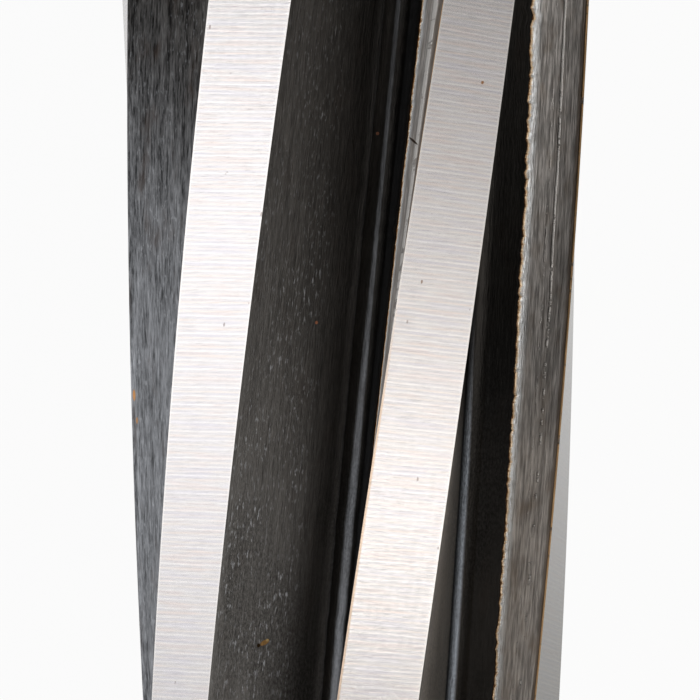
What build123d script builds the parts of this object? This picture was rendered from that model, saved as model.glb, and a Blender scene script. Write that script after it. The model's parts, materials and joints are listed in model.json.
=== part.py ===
from build123d import *

import os
from math import asin, atan, atan2, ceil, cos, degrees, hypot, radians, sin, sqrt, tan

# Peg hole reamer: a tapered six-flute hand reamer with a cross handle, lying on a table.
#
# The tool is drawn about its own axis, with the tip at the origin, the axis along +Z and the
# cross handle along X. It is then laid down as it comes to rest, on the two knobs and a cutting
# edge near the tip: axis along +Y, tip towards -Y, with the side seen in the photograph up.

# Tapered cutting end, in millimetres.
TAPER_RUN = 20.0  # length over which the diameter grows by 1 mm
TIP_DIAMETER = 9.0
CONE_LENGTH = 110.0
TIP_CHAMFER = 0.8
CENTRE_HOLE_DIAMETER = 2.6  # mouth of the lathe centre in the tip
CENTRE_HOLE_ANGLE = 60.0
CENTRE_DRILL_DIAMETER = 1.2
CENTRE_DRILL_DEPTH = 3.4
DRILL_POINT_ANGLE = 118.0

# Teeth. The sizes across a tooth hold at the gauge diameter and shrink with the taper.
TOOTH_TURNS = (0.0, 59.0, 118.0, 177.0, 237.0, 301.6)  # degrees, unevenly spaced against chatter
FLUTE_LEAD = 261.0  # length of one full right-hand turn
GAUGE_DIAMETER = 12.0
GAUGE_TURN = 9.9  # degrees from the upper side to the first cutting edge, at the gauge diameter
LAND_WIDTH = 2.2
LAND_RELIEF = 15.6  # degrees that the flat land falls away behind its cutting edge
FLUTE_DEPTH = 2.7
ROOT_LEAD = 0.1  # how far the flute's corner lies ahead of the cutting edge
EDGE_FACET_DEPTH = 0.62
EDGE_FACET_RAKE = 14.0
FACE_BAND_DEPTH = 1.47  # depth of the ground band on the cutting face, edge facet included
FACE_BAND_RAKE = 0.5
BACK_HOLLOW = 0.06
RUN_OUT_LENGTH = 14.0  # stretch in which the mill's rim rises out of the flute
RUN_OUT_STEP = 0.15  # how far above the neck the flutes' floors end
STATION_SPACING = 10.0  # of the sections that the teeth are lofted through
RUN_OUT_STATIONS = 3

# Neck, plain shank and the head that the handle goes through.
NECK_DIAMETER = 12.0
NECK_LENGTH = 6.0
SHANK_DIAMETER = 16.0
SHANK_LENGTH = 37.0
HEAD_DIAMETER = 18.5
HEAD_LENGTH = 26.0  # the bar goes through at half of it
HEAD_END_CHAMFER = 1.5

# Cross handle.
BAR_DIAMETER = 8.0
BAR_REACH = 42.0  # from the tool's axis to the shoulder under each knob
BAR_CLEARANCE = 0.05
BAR_FLAT_DEPTH = 0.4
BAR_FLAT_LENGTH = 9.0
SPIGOT_DIAMETER = 6.0
SPIGOT_LENGTH = 9.0
KNOB_DIAMETER = 20.0
KNOB_LENGTH = 16.0
KNOB_END_CHAMFER = 2.5
BUSH_DIAMETER = 9.0
BUSH_LENGTH = 11.0
BUSH_BORE_SPARE = 0.8  # depth of bore left past the end of the spigot
THREAD_CLEARANCE = 0.03

# Lock screw in the end of the head.
SCREW_DIAMETER = 5.0
SCREW_LENGTH = 6.0
SCREW_POINT_CHAMFER = 0.8
SOCKET_WIDTH = 2.5  # across the flats of the hexagon
SOCKET_DEPTH = 2.6
SCREW_HOLE_COUNTERSINK = 0.6

# Places along the tool's axis.
GAUGE_PLACE = (GAUGE_DIAMETER - TIP_DIAMETER) * TAPER_RUN
NECK_END = CONE_LENGTH + NECK_LENGTH
SHANK_END = NECK_END + SHANK_LENGTH
HEAD_START = SHANK_END + (HEAD_DIAMETER - SHANK_DIAMETER) / 2
HEAD_END = HEAD_START + HEAD_LENGTH
BAR_PLACE = HEAD_START + HEAD_LENGTH / 2
FLAT_PLACE = BAR_DIAMETER / 2 - BAR_FLAT_DEPTH  # the bar's lock flat, from the bar's axis
TOUCH_STEP = 0.1  # between the places tried for where the tool rests


def cone_radius(place):
    """Radius of the taper at a distance from the tip."""
    return (TIP_DIAMETER + place / TAPER_RUN) / 2


def flute_share(place):
    """Share of the flute's full depth at a distance from the tip: 1, then less in the run-out.

    The floor of the run-out is an arc of the mill's rim. It ends just above the neck.
    """
    full_depth = FLUTE_DEPTH * 2 * cone_radius(CONE_LENGTH) / GAUGE_DIAMETER
    lift = full_depth - (cone_radius(CONE_LENGTH) - NECK_DIAMETER / 2 - RUN_OUT_STEP)
    rim = (RUN_OUT_LENGTH**2 + lift**2) / (2 * lift)
    past = max(0.0, place - (CONE_LENGTH - RUN_OUT_LENGTH))
    return 1 - (rim - sqrt(rim**2 - past**2)) / full_depth


def on_circle(radius, angle):
    """A point of the section, by its angle in degrees from the upper side, towards +X."""
    return (radius * sin(radians(angle)), -radius * cos(radians(angle)))


def tooth_edges(radius, size, turn, next_turn):
    """One tooth's land and the flute behind it, up to the next cutting edge.

    The flat land falls away from the cutting edge to the heel. From the heel the line goes down
    the hollow back to the flute's corner, up the wall and the two ground bands of the next
    tooth's cutting face. In the run-out the flute keeps its width and gets less deep.
    """
    land = LAND_WIDTH * 2 * radius / GAUGE_DIAMETER
    heel_across = land * cos(radians(LAND_RELIEF))
    heel_up = radius - land * sin(radians(LAND_RELIEF))
    heel = on_circle(hypot(heel_across, heel_up), turn + degrees(atan2(heel_across, heel_up)))

    facet_in = EDGE_FACET_DEPTH * tan(radians(EDGE_FACET_RAKE))
    band_in = facet_in + (FACE_BAND_DEPTH - EDGE_FACET_DEPTH) * tan(radians(FACE_BAND_RAKE))
    corner = Vector(-ROOT_LEAD * size, FLUTE_DEPTH * size - radius).rotate(Axis.Z, next_turn)
    band_foot = Vector(band_in * size, FACE_BAND_DEPTH * size - radius).rotate(Axis.Z, next_turn)
    facet_foot = Vector(facet_in * size, EDGE_FACET_DEPTH * size - radius).rotate(Axis.Z, next_turn)

    back = SagittaArc(heel, corner, BACK_HOLLOW * size)
    face = Polyline(corner, band_foot, facet_foot, on_circle(radius, next_turn))
    return [Line(on_circle(radius, turn), heel), back, *face.edges()]


def first_cutting_edge(place):
    """The first cutting edge's turn from the upper side at a distance from the tip, in degrees."""
    return GAUGE_TURN + 360 * (place - GAUGE_PLACE) / FLUTE_LEAD


def toothed_section(place):
    """The section across all the teeth at a distance from the tip, turned to its place."""
    radius = cone_radius(place)
    size = flute_share(place) * 2 * radius / GAUGE_DIAMETER
    next_turns = TOOTH_TURNS[1:] + (360.0,)
    edges = [
        edge
        for turn, next_turn in zip(TOOTH_TURNS, next_turns)
        for edge in tooth_edges(radius, size, turn, next_turn)
    ]
    return Pos(0, 0, place) * Rot(Z=first_cutting_edge(place)) * make_face(edges)


def toothed_taper():
    """The whole taper with its helical flutes, as one loft through its turned sections."""
    full_length = CONE_LENGTH - RUN_OUT_LENGTH
    spans = ceil(full_length / STATION_SPACING)
    stations = [i * full_length / spans for i in range(spans + 1)]
    stations += [full_length + (i + 1) * RUN_OUT_LENGTH / RUN_OUT_STATIONS for i in range(RUN_OUT_STATIONS)]
    return loft([toothed_section(place) for place in stations])


def tip_cuts():
    """What is turned off the tip: the bevel that starts the cut, and the lathe centre."""
    rim = cone_radius(0)
    bevel = Polyline(
        (rim - 2 * TIP_CHAMFER, -TIP_CHAMFER),
        (rim + TIP_CHAMFER, 2 * TIP_CHAMFER),
        (rim + TIP_CHAMFER, -TIP_CHAMFER),
        close=True,
    )
    drill = CENTRE_DRILL_DIAMETER / 2
    mouth = CENTRE_HOLE_DIAMETER / 2
    centre = Polyline(
        (0, 0),
        (mouth, 0),
        (drill, (mouth - drill) / tan(radians(CENTRE_HOLE_ANGLE / 2))),
        (drill, CENTRE_DRILL_DEPTH),
        (0, CENTRE_DRILL_DEPTH + drill / tan(radians(DRILL_POINT_ANGLE / 2))),
        close=True,
    )
    return [revolve(Plane.XZ * make_face(outline), Axis.Z) for outline in (bevel, centre)]


def neck_shank_and_head():
    """The turned length behind the taper, as one revolve. Each step up is a 45 degree shoulder."""
    neck = NECK_DIAMETER / 2
    shank = SHANK_DIAMETER / 2
    head = HEAD_DIAMETER / 2
    outline = Polyline(
        (0, CONE_LENGTH),
        (neck, CONE_LENGTH),
        (neck, NECK_END - (shank - neck)),
        (shank, NECK_END),
        (shank, SHANK_END),
        (head, HEAD_START),
        (head, HEAD_END - HEAD_END_CHAMFER),
        (head - HEAD_END_CHAMFER, HEAD_END),
        (0, HEAD_END),
        close=True,
    )
    return revolve(Plane.XZ * make_face(outline), Axis.Z)


def reamer():
    """The one-piece cutter, shank and head, with the bar's cross hole and the lock screw's hole."""
    body = toothed_taper() - tip_cuts() + neck_shank_and_head()
    bar_hole = Cylinder(BAR_DIAMETER / 2 + BAR_CLEARANCE, HEAD_DIAMETER, rotation=(0, 90, 0))
    body -= Pos(0, 0, BAR_PLACE) * bar_hole
    hole_radius = SCREW_DIAMETER / 2 + THREAD_CLEARANCE
    seat = (Align.CENTER, Align.CENTER, Align.MAX)
    body -= Pos(0, 0, HEAD_END) * Cylinder(hole_radius, HEAD_LENGTH / 2, align=seat)
    countersink = Cone(hole_radius, hole_radius + SCREW_HOLE_COUNTERSINK, SCREW_HOLE_COUNTERSINK, align=seat)
    return body - Pos(0, 0, HEAD_END) * countersink


def cross_bar():
    """The handle's bar: a turned rod with a threaded spigot at each end and a flat for the screw."""
    rod = Cylinder(BAR_DIAMETER / 2, 2 * BAR_REACH, rotation=(0, 90, 0))
    rod += Cylinder(SPIGOT_DIAMETER / 2, 2 * (BAR_REACH + SPIGOT_LENGTH), rotation=(0, 90, 0))
    flat = Box(BAR_FLAT_LENGTH, BAR_DIAMETER, BAR_DIAMETER)
    rod -= Pos(0, 0, FLAT_PLACE + BAR_DIAMETER / 2) * flat
    return Pos(0, 0, BAR_PLACE) * rod


def knob_bush():
    """The metal bush moulded into a knob, flush with the knob's flat."""
    bore = SPIGOT_LENGTH + BUSH_BORE_SPARE
    seat = (Align.CENTER, Align.CENTER, Align.MIN)
    bush = Cylinder(BUSH_DIAMETER / 2, BUSH_LENGTH, align=seat)
    return bush - Cylinder(SPIGOT_DIAMETER / 2 + THREAD_CLEARANCE, bore, align=seat)


def knob():
    """A barrel knob, turned in one outline around the hollow that its bush is moulded into."""
    hollow = BUSH_DIAMETER / 2
    rim = KNOB_DIAMETER / 2
    outline = Polyline(
        (hollow, 0),
        (rim, 0),
        (rim, KNOB_LENGTH - KNOB_END_CHAMFER),
        (rim - KNOB_END_CHAMFER, KNOB_LENGTH),
        (0, KNOB_LENGTH),
        (0, BUSH_LENGTH),
        (hollow, BUSH_LENGTH),
        close=True,
    )
    return revolve(Plane.XZ * make_face(outline), Axis.Z)


def lock_screw():
    """The socket screw that bears on the bar's flat from the end of the head."""
    seat = (Align.CENTER, Align.CENTER, Align.MIN)
    screw = Cylinder(SCREW_DIAMETER / 2, SCREW_LENGTH, align=seat)
    screw = chamfer(screw.edges().group_by(Axis.Z)[0], SCREW_POINT_CHAMFER)
    socket = RegularPolygon(SOCKET_WIDTH / 2, 6, major_radius=False)
    screw -= Pos(0, 0, SCREW_LENGTH - SOCKET_DEPTH) * extrude(socket, SOCKET_DEPTH)
    return Pos(0, 0, BAR_PLACE + FLAT_PLACE) * screw


def pieces_on_axis():
    """Every piece by name, about the tool's own axis."""
    right_end = Pos(BAR_REACH, 0, BAR_PLACE) * Rot(Y=90)
    left_end = Pos(-BAR_REACH, 0, BAR_PLACE) * Rot(Y=-90)
    return {
        "reamer": reamer(),
        "cross_bar": cross_bar(),
        "lock_screw": lock_screw(),
        "left_knob": left_end * knob(),
        "right_knob": right_end * knob(),
        "left_knob_bush": left_end * knob_bush(),
        "right_knob_bush": right_end * knob_bush(),
    }


def resting_pitch():
    """How far the axis rises towards the handle when the tool lies on a table, in degrees.

    Each place on each cutting edge would rest on the table at some pitch of its own. The edge
    touches where that pitch is least. Only the taper's first half can touch.
    """
    first = TIP_CHAMFER / (1 - 0.5 / TAPER_RUN)
    steps = round((CONE_LENGTH / 2 - first) / TOUCH_STEP)
    pitches = []
    for place in [first + i * TOUCH_STEP for i in range(steps)]:
        reach = BAR_PLACE - place
        for turn in TOOTH_TURNS:
            drop = -cone_radius(place) * cos(radians(first_cutting_edge(place) + turn))
            pitches.append(asin(KNOB_DIAMETER / 2 / hypot(reach, drop)) - atan(drop / reach))
    return degrees(min(pitches))


def laid_down(pieces):
    """Tips the tool onto its two knobs and a cutting edge, and centres it over the table."""
    lying = Rot(X=resting_pitch()) * Rot(X=-90)
    laid = {name: lying * piece for name, piece in pieces.items()}
    box = Compound(children=[piece.solid() for piece in laid.values()]).bounding_box()
    home = Pos(-box.center().X, -box.center().Y, -box.min.Z)
    return {name: home * piece for name, piece in laid.items()}


os.makedirs("parts", exist_ok=True)
for node, shape in laid_down(pieces_on_axis()).items():
    export_step(shape.solid(), f"parts/{node}.step")
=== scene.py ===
import json
from math import cos, pi, radians, sin, tan

import bmesh
import bpy
import numpy as np
from bpy.props import FloatProperty, FloatVectorProperty, PointerProperty
from bpy.types import Operator, Panel, PropertyGroup
from mathutils import Matrix, Vector


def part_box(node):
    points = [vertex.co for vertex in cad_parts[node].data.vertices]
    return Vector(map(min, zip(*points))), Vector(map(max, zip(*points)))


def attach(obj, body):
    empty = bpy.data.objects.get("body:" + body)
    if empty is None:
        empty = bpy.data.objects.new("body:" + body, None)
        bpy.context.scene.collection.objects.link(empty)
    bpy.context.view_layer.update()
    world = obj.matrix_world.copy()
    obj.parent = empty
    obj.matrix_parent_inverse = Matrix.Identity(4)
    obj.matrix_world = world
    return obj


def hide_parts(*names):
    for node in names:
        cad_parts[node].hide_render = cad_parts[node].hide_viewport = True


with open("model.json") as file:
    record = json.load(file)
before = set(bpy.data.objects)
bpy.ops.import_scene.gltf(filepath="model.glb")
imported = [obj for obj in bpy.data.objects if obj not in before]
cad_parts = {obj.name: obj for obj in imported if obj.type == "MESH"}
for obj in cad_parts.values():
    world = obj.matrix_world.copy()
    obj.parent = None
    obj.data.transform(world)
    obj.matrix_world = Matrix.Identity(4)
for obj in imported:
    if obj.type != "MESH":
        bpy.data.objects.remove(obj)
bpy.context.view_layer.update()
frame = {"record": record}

bl_info = {
    "name": "Peg Hole Reamer",
    "version": (1, 0, 0),
    "blender": (4, 5, 0),
    "location": "3D View > Sidebar > Reamer",
    "description": "Tapered six-flute hand reamer with a cross handle, and the stage it lies on",
    "category": "Object",
}

MM = 0.001

# The tool's own axis, read from the frame: it rises a little from the tip to the cross handle.
# Shapes are worked out about that axis, with the tip at 0, and are then laid in their place.
AXIS = Vector(frame["record"]["mounts"][0]["axis"]).normalized() * -1
DOWN = AXIS.cross(Vector((1, 0, 0)))
BAR_LOW, BAR_HIGH = (Vector(corner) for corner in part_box("cross_bar"))
BAR_CENTRE = (BAR_LOW + BAR_HIGH) / 2

# Turns from the first cutting edge to each of the six, unevenly spaced against chatter.
TOOTH_TURNS = np.radians((0.0, 59.0, 118.0, 177.0, 237.0, 301.6))

# The outline of a tooth in zones, each with its number of points.
LAND, BACK, ROOT, WALL, LEDGE, BAND, FACET = range(7)
ZONE_POINTS = {LAND: 8, BACK: 12, ROOT: 6, WALL: 3, LEDGE: 2, BAND: 3, FACET: 2}
TOOTH_ZONES = np.repeat(list(ZONE_POINTS), list(ZONE_POINTS.values()))

# How deep the cutting face of each tooth is ground, as a share of the usual depth.
FACE_SHARES = (1.25, 1.0, 1.1, 0.95, 1.0, 1.1)

# How far the black coat of the flute behind each tooth is rubbed, from 0 to 1: the tooth's back
# towards the shank and towards the tip, and the flute's root likewise, where it sets the painted
# highlight along the root and the rub of the wall. Then how much darker the back's foot is painted,
# as painted shade, how streaked the coat is, and around which place, in millimetres above the gauge
# diameter, and within which reach it changes from one end's value to the other's.
FLUTE_COATS = (
    (0.10, 1.00, 0.05, 1.00, 0.0, 0.25, -0.8, 2.8),
    (0.35, 0.25, 0.20, 0.40, 0.4, 0.50, 0.0, 6.0),
    (0.20, 0.55, 0.30, 0.50, 0.3, 0.80, 5.0, 6.0),
    (0.45, 0.20, 0.30, 0.30, 0.4, 0.40, -4.0, 6.0),
    (0.05, 1.00, 0.10, 0.90, 0.2, 1.00, 4.6, 6.0),
    (0.54, 0.63, 0.50, 1.00, 0.6, 0.30, -2.0, 6.0),
)

# How bright each tooth's land is painted, its dimming being painted shade, and how wide the lines
# on its cutting face are, among them its painted highlights.
LAND_SHADES = (1.0, 0.30, 0.9, 0.95, 0.85, 1.0)
FACE_LINE_WIDTHS = (3.5, 1.0, 1.5, 1.2, 1.0, 1.5)

# Marks on the lands and in the flutes: millimetres around and along, half of each size, the
# slant of the mark, and its colour.
LAND_MARKS = (
    (1.548, 66.486, 0.05, 0.05, 0.0, (0.30, 0.15, 0.06)),
    (0.62, 61.30, 0.03, 0.06, 0.0, (0.25, 0.18, 0.14)),
)
FLUTE_MARKS = (
    (46.209, 52.177, 0.15, 0.08, 0.4, (0.17, 0.095, 0.035)),
    (46.047, 52.098, 0.06, 0.06, 0.0, (0.02, 0.012, 0.006)),
    (46.28, 52.24, 0.05, 0.04, 0.0, (0.28, 0.20, 0.09)),
    (48.07, 65.321, 0.05, 0.05, 0.0, (0.15, 0.07, 0.045)),
    (36.05, 58.79, 0.05, 0.17, 0.0, (0.34, 0.17, 0.07)),
    (36.12, 58.13, 0.04, 0.10, 0.0, (0.26, 0.15, 0.08)),
    (46.808, 60.374, 0.05, 0.05, 0.0, (0.22, 0.09, 0.05)),
    (49.69, 65.01, 0.50, 0.04, -0.325, (0.05, 0.028, 0.017)),
)

# How many rings stand on the tip's bevel, from there to the fine stretch, on that stretch, which
# reaches this far to both sides of the gauge diameter, from there to the run-out, and on that.
RING_COUNTS = (4, 60, 240, 30, 27)
FINE_REACH = 12 * MM

# Unevenness left by the grinding: waves, each with its reach as a share of the edge unevenness and
# its spacing. They are drawn in this order for each tooth.
GRINDING_SEED = 11
BAND_WAVES = ((0.5, 0.45 * MM), (1.0, 0.12 * MM))
FACET_WAVE = (0.4, 0.9 * MM)
LEDGE_WAVE = (1.0, 0.25 * MM)

# Along a back the rubbed coat is painted darker by this much at most, over these shares of the
# way down it: painted shade towards the flute's root.
FOOT_PAINTED_SHADE = 0.78
DARKENING_SHARES = (0.0, 0.75)
DARK_FOOT_SHARES = (0.5, 0.9)

# A lathe centre has a 60 degree cone, and the drill that starts it has a 118 degree point.
CENTRE_HALF_ANGLE = radians(30)
DRILL_HALF_POINT = radians(59)

# How far each turned edge is eased.
HEAD_ROUNDING = 0.25 * MM
BAR_ROUNDING = 0.2 * MM
KNOB_ROUNDING = 0.9 * MM
BUSH_ROUNDING = 0.15 * MM
SCREW_ROUNDING = 0.12 * MM

# The share of the neck over which the points of its rings come to stand evenly.
EVENED_OVER = 0.6

# Turned steel is ground bright where it's wider than this share of the shank, and black elsewhere.
BRIGHT_FROM = 0.97

# Points around a turned piece, around the large knobs and around the bar's hole.
ROUND_POINTS = 96
KNOB_POINTS = 128
HOLE_POINTS = 64

# The hexagon's rim is countersunk to this many times its own half width.
SOCKET_MOUTH = 1.2

# Points closer than this are one point, and edges shorter than this are none, in metres.
WELD_DISTANCE = 1e-7
SHORTEST_EDGE = 1e-8

# The steels of the cutter, as they are numbered in its mesh.
LAND_STEEL, FLUTE_STEEL, BRIGHT_STEEL, BLACK_STEEL = range(4)

# Kinds of streaks, noise stretched over the unrolled surface: how many per millimetre around and
# along, which part of the noise they are cut from, and its detail and roughness.
STREAKS = {
    "land_sway": (0.25, 0.5, 3.0, 2.0, 0.5),
    "line_strength": (0.5, 0.9, 7.0, 2.0, 0.5),
    "land_dashes": (1.6, 24.0, 1.0, 3.0, 0.65),
    "line_tint": (0.5, 1.7, 5.0, 2.0, 0.5),
    "speck_crowds": (0.9, 0.7, 66.0, 2.0, 0.5),
    "land_grooves": (0.5, 6.0, 2.0, 3.0, 0.7),
    "short_streaks": (22.0, 1.9, 0.0, 4.0, 0.68),
    "long_streaks": (6.0, 0.4, 4.0, 3.0, 0.6),
    "coat_grain": (20.0, 9.0, 9.0, 3.0, 0.75),
    "grainy_places": (0.5, 0.2, 71.0, 2.0, 0.5),
    "dash_patches": (1.1, 0.5, 81.0, 2.0, 0.5),
    "worn_dashes": (15.0, 4.0, 15.0, 3.0, 0.62),
    "brown_places": (1.6, 0.55, 12.0, 3.0, 0.6),
    "ragged_rim": (0.3, 9.0, 20.0, 4.0, 0.8),
    "face_scratches": (17.0, 0.9, 31.0, 3.0, 0.7),
    "face_bands": (6.0, 0.8, 35.0, 2.0, 0.6),
    "face_blotches": (2.5, 1.1, 37.0, 2.0, 0.6),
    "rim_fibres": (26.0, 2.6, 91.0, 3.0, 0.75),
    "highlight_breaks": (0.5, 2.2, 44.0, 3.0, 0.75),
    "second_highlight_breaks": (0.5, 1.3, 51.0, 3.0, 0.7),
    "edge_breaks": (0.5, 3.0, 55.0, 3.0, 0.5),
    "stain_breaks": (0.5, 1.6, 60.0, 2.0, 0.5),
    "shank_lines": (0.12, 14.0, 0.0, 3.0, 0.7),
    "shank_bands": (0.05, 1.2, 5.0, 2.0, 0.6),
    "black_lines": (0.2, 9.0, 2.0, 3.0, 0.6),
    "bar_lines": (0.15, 10.0, 2.0, 3.0, 0.6),
    "handling_marks": (0.6, 0.9, 8.0, 4.0, 0.7),
    "brass_lines": (0.1, 12.0, 2.0, 3.0, 0.6),
}

# Colours of single marks, of wear, and of painted highlights, painted light and painted shade, over
# the finishes that the user can change.
TINTS = {
    "plain_land": (0.87, 0.865, 0.87),
    # Painted highlight along the edges of a land.
    "land_edge_highlight": (1.0, 0.99, 0.98),
    "browned_edge": (0.74, 0.56, 0.42),
    # Painted shade on the dimmest land.
    "painted_shade_tint": (1.0, 0.98, 0.90),
    "speck": (0.16, 0.12, 0.11),
    # Painted light on the first flute's back.
    "first_back_painted_light": (0.72, 0.665, 0.60),
    # Painted highlight in the first flute's root.
    "first_root_painted_highlight": (0.21, 0.23, 0.26),
    "worn_dash": (0.31, 0.32, 0.34),
    "brown_coat": (0.034, 0.023, 0.018),
    "face_blotch": (0.28, 0.20, 0.13),
    # Painted highlight on the band's rim.
    "rim_highlight": (0.95, 0.98, 1.0),
    "golden_rim": (0.86, 0.57, 0.29),
    # Painted highlight lines on the cutting faces.
    "painted_face_glint": (1.0, 0.97, 0.93),
    "brown_under_edge": (0.13, 0.085, 0.05),
    "golden_edge": (1.0, 0.62, 0.30),
    "shank_stain": (0.33, 0.27, 0.20),
    "handling_mark": (0.40, 0.35, 0.29),
    "dust": (0.10, 0.10, 0.10),
    "tarnish": (0.42, 0.28, 0.12),
}

# Across one grinding line of a land, bright at both ends, and the tints of whole lines.
LINE_PROFILE = (
    (0.0, (1.0, 1.0, 1.0)), (0.11, (0.92, 0.91, 0.92)), (0.20, (0.80, 0.80, 0.835)),
    (0.36, (0.83, 0.82, 0.845)), (0.47, (0.94, 0.905, 0.88)), (0.54, (0.95, 0.91, 0.88)),
    (0.64, (0.83, 0.815, 0.83)), (0.86, (0.80, 0.80, 0.835)), (0.93, (0.92, 0.91, 0.92)),
    (1.0, (1.0, 1.0, 1.0)),
)
LINE_TINTS = ((0.36, (1.0, 0.945, 0.93)), (0.5, (1.0, 1.0, 1.0)), (0.64, (0.95, 0.95, 1.0)))

# Where the ground steel starts to curve up to the band's rim, and over how much, in zones.
RIM_START = 1.68
RIM_REACH = 0.36

# Name, from and to in degrees from straight up towards the right, level, colour.
LAMPS = (
    ("left_panel", -72, -34, 1.09, (1.0, 1.0, 1.0)),
    ("left_low_panel", -82, -72, 1.0, (1.0, 1.0, 1.0)),
    ("left_side_panel", -90, -82, 0.83, (1.0, 1.0, 1.0)),
    ("overhead_panel", -24, 16, 0.11, (1.0, 0.98, 0.95)),
    ("right_top_panel", 24, 44, 1.33, (1.0, 0.98, 0.95)),
    ("right_panel", 44, 51, 0.93, (1.0, 0.98, 0.95)),
    ("right_low_panel", 51, 60, 0.69, (1.0, 0.98, 0.95)),
    ("right_side_panel", 60, 80, 0.45, (1.0, 0.98, 0.95)),
)
LAMP_DISTANCE = 500 * MM
LAMP_LENGTH = 800 * MM
WORLD_LEVEL = 0.03

# Half of the floor's side, and how near the camera sees, in metres. Its sensor is in millimetres.
FLOOR_HALF = 3.0
FLOOR_GREY = (0.9, 0.9, 0.9)
NEAREST_SEEN = 0.01
SENSOR_WIDTH = 36


def length(name, description, millimetres):
    """A length that the user can change, given here in millimetres."""
    return FloatProperty(
        name=name, description=description, default=millimetres * MM, unit="LENGTH", precision=4
    )


def angle(name, description, degrees):
    """An angle that the user can change, given here in degrees."""
    return FloatProperty(
        name=name, description=description, default=radians(degrees), subtype="ANGLE"
    )


def colour(name, description, red, green, blue):
    """A colour that the user can change."""
    return FloatVectorProperty(
        name=name, description=description, default=(red, green, blue), subtype="COLOR", size=3,
        min=0, max=1,
    )


class CutterSizes(PropertyGroup):
    taper_run: FloatProperty(
        name="Taper Run", description="Length over which the diameter grows by 1", default=20.0
    )
    tip_diameter: length("Tip Diameter", "Diameter of the taper at the tip", 9.0)
    cone_length: length("Taper Length", "Length of the fluted taper", 110.0)
    tip_chamfer: length("Tip Chamfer", "Bevel that starts the cut", 0.8)
    centre_mouth: length("Centre Mouth", "Diameter of the lathe centre's mouth", 2.6)
    centre_drill: length("Centre Drill", "Diameter of the lathe centre's drilled end", 1.2)
    centre_depth: length("Centre Depth", "Depth of the lathe centre's drilled end", 3.4)
    flute_lead: length("Flute Lead", "Length of one full right-hand turn", 261.0)
    gauge_diameter: length("Gauge Diameter", "Diameter at which the flute sizes hold", 12.0)
    gauge_turn: angle(
        "Gauge Turn", "From the upper side to the first cutting edge at the gauge diameter", 9.9
    )
    land_width: length("Land Width", "Width of the flat ground land", 2.2)
    land_relief: angle("Land Relief", "How steeply the land falls away behind its edge", 15.6)
    flute_depth: length("Flute Depth", "Depth of the flute's corner under the cutting edge", 2.7)
    root_lead: length("Root Lead", "How far the flute's corner lies ahead of the cutting edge", 0.1)
    root_radius: length("Root Radius", "Radius of the flute's corner", 0.45)
    facet_depth: length("Edge Facet Depth", "Depth of the facet under the cutting edge", 0.62)
    facet_rake: angle("Edge Facet Rake", "Rake of the facet under the cutting edge", 14.0)
    band_depth: length("Band Depth", "Depth to which the cutting face is ground", 1.47)
    band_rake: angle("Band Rake", "Rake of the ground band", 0.5)
    band_step: length("Band Step", "Ledge where the grinding of the face ends", 0.05)
    back_hollow: length("Back Hollow", "Hollow of the tooth's back", 0.06)
    run_out: length("Run-out Length", "Where the mill's rim rises out of the flute", 14.0)
    run_out_step: length("Run-out Step", "How far above the neck the flutes' floors end", 0.15)
    edge_wear: length("Edge Unevenness", "How uneven the ground band's lower edge is", 0.035)


class HandleSizes(PropertyGroup):
    neck_diameter: length("Neck Diameter", "Diameter of the neck behind the taper", 12.0)
    neck_length: length("Neck Length", "Length of the neck with its shoulder", 6.0)
    shank_diameter: length("Shank Diameter", "Diameter of the plain shank", 16.0)
    shank_length: length("Shank Length", "Length of the plain shank", 37.0)
    head_diameter: length("Head Diameter", "Diameter of the head that holds the bar", 18.5)
    head_length: length("Head Length", "Length of the head", 26.0)
    head_chamfer: length("Head Chamfer", "Bevel at the end of the head", 1.5)
    bar_diameter: length("Bar Diameter", "Diameter of the cross bar", 8.0)
    bar_reach: length("Bar Reach", "From the tool's axis to the shoulder under a knob", 42.0)
    bar_clearance: length("Bar Clearance", "Play of the bar in its hole, all round", 0.05)
    bar_flat_depth: length("Bar Flat Depth", "Depth of the flat for the lock screw", 0.4)
    bar_flat_length: length("Bar Flat Length", "Length of the flat for the lock screw", 9.0)
    spigot_diameter: length("Spigot Diameter", "Diameter of the bar's threaded ends", 6.0)
    spigot_length: length("Spigot Length", "Length of the bar's threaded ends", 9.0)
    knob_chamfer: length("Knob Chamfer", "Bevel at the outer end of a knob", 2.5)
    bore_spare: length("Spare Bore", "Depth of the bush's bore past the spigot", 0.8)
    thread_clearance: length("Thread Clearance", "Play in the screwed joints", 0.03)
    screw_diameter: length("Screw Diameter", "Diameter of the lock screw", 5.0)
    screw_length: length("Screw Length", "Length of the lock screw", 6.0)
    screw_point: length("Screw Point", "Bevel at the lock screw's point", 0.8)
    socket_width: length("Socket Width", "Across the flats of the lock screw's hexagon", 2.5)
    socket_depth: length("Socket Depth", "Depth of the lock screw's hexagon", 2.6)
    countersink: length("Countersink", "Bevel of the lock screw's hole", 0.6)


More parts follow.
